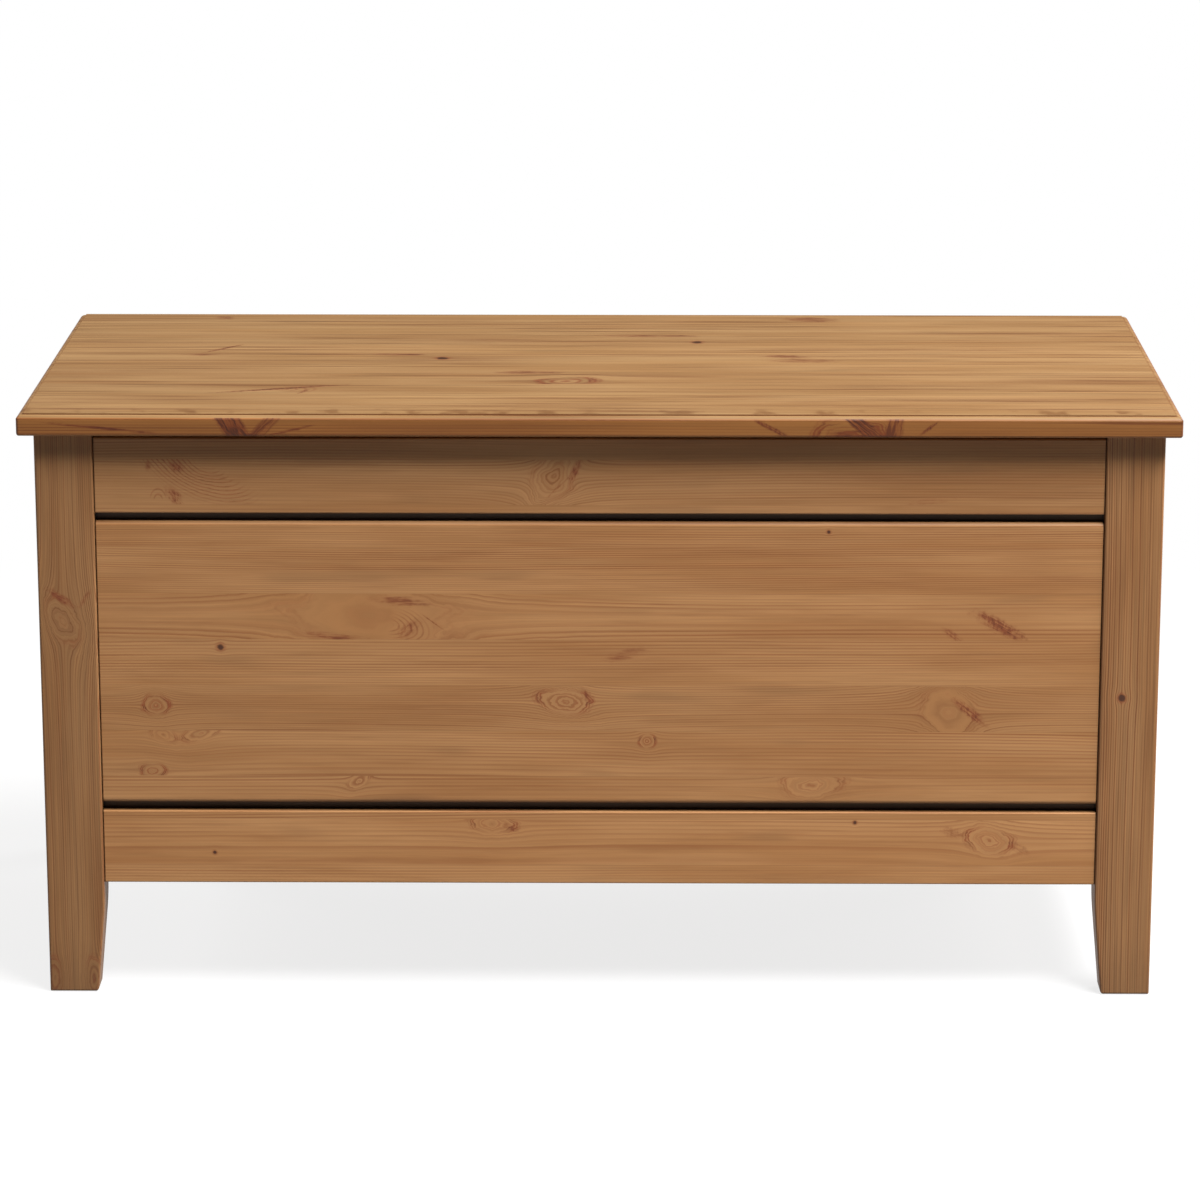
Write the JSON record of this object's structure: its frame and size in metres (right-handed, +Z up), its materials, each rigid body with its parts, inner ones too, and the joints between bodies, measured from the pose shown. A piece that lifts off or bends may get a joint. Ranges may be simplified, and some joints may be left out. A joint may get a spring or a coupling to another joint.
{
  "type": "linen chest",
  "caption": "Low stained-pine linen chest on tapered legs, with rail-and-panel walls, shadow gaps and a moulded lid that hinges open on slotted stays.",
  "frame": {"origin": "on the floor, under the middle of the outline", "axes": "+X to the right seen from the front, +Y to the back, +Z up"},
  "size_m": [0.95, 0.45, 0.5],
  "materials": {
    "stained_pine": "satin stained",
    "inner_pine": "matt stained",
    "pine_plywood": "matt",
    "beech_dowel": "raw",
    "zinc_steel": "zinc plated",
    "hinge_brass": "antique brass",
    "stay_steel": "brassed steel",
    "bumper_rubber": "matt"
  },
  "bodies": {
    "carcass": {"back_bottom_cleat": "inner_pine", "back_bottom_rail": "stained_pine", "back_panel": "pine_plywood", "back_top_rail": "stained_pine", "bottom_panel": "pine_plywood", "cam_bolts": "zinc_steel", "cam_locks": "zinc_steel", "cleat_screws": "zinc_steel", "front_bottom_cleat": "inner_pine", "front_bottom_rail": "stained_pine", "front_left_leg": "stained_pine", "front_panel": "stained_pine", "front_right_leg": "stained_pine", "front_top_rail": "stained_pine", "hinge_frame_screws": "hinge_brass", "left_bottom_cleat": "inner_pine", "left_bottom_rail": "stained_pine", "left_hinge_frame_leaf": "hinge_brass", "left_hinge_pin": "hinge_brass", "left_side_panel": "stained_pine", "left_stay_guide": "stay_steel", "left_top_rail": "stained_pine", "rail_dowels": "beech_dowel", "rear_left_leg": "stained_pine", "rear_right_leg": "stained_pine", "right_bottom_cleat": "inner_pine", "right_bottom_rail": "stained_pine", "right_hinge_frame_leaf": "hinge_brass", "right_hinge_pin": "hinge_brass", "right_side_panel": "stained_pine", "right_stay_guide": "stay_steel", "right_top_rail": "stained_pine", "stay_guide_screws": "stay_steel"},
    "lid": {"lid_panel": "stained_pine", "left_lid_batten": "inner_pine", "right_lid_batten": "inner_pine", "lid_batten_screws": "zinc_steel", "left_hinge_lid_leaf": "hinge_brass", "right_hinge_lid_leaf": "hinge_brass", "hinge_lid_screws": "hinge_brass", "left_stay_bracket": "stay_steel", "right_stay_bracket": "stay_steel", "left_stay_rivet": "stay_steel", "right_stay_rivet": "stay_steel", "stay_bracket_screws": "stay_steel", "lid_bumpers": "bumper_rubber"},
    "left_stay": {"left_stay_arm": "stay_steel"},
    "right_stay": {"right_stay_arm": "stay_steel"}
  },
  "joints": [
    {"name": "lid_hinge", "type": "hinge", "parent": "carcass", "child": "lid", "pos_m": [0, 0.2215, 0.48125], "axis": [-1, 0, 0], "range_deg": [0, 95]},
    {"name": "left_stay_pivot", "type": "hinge", "parent": "lid", "child": "left_stay", "pos_m": [-0.4375, 0.07215, 0.46725], "axis": [-1, 0, 0], "range_deg": [-47.5, 0]},
    {"name": "right_stay_pivot", "type": "hinge", "parent": "lid", "child": "right_stay", "pos_m": [0.4375, 0.07215, 0.46725], "axis": [-1, 0, 0], "range_deg": [-47.5, 0]}
  ],
  "couplings": [
    {"joint": "left_stay_pivot", "follows": "lid_hinge", "ratio": -0.5},
    {"joint": "right_stay_pivot", "follows": "lid_hinge", "ratio": -0.5}
  ]
}
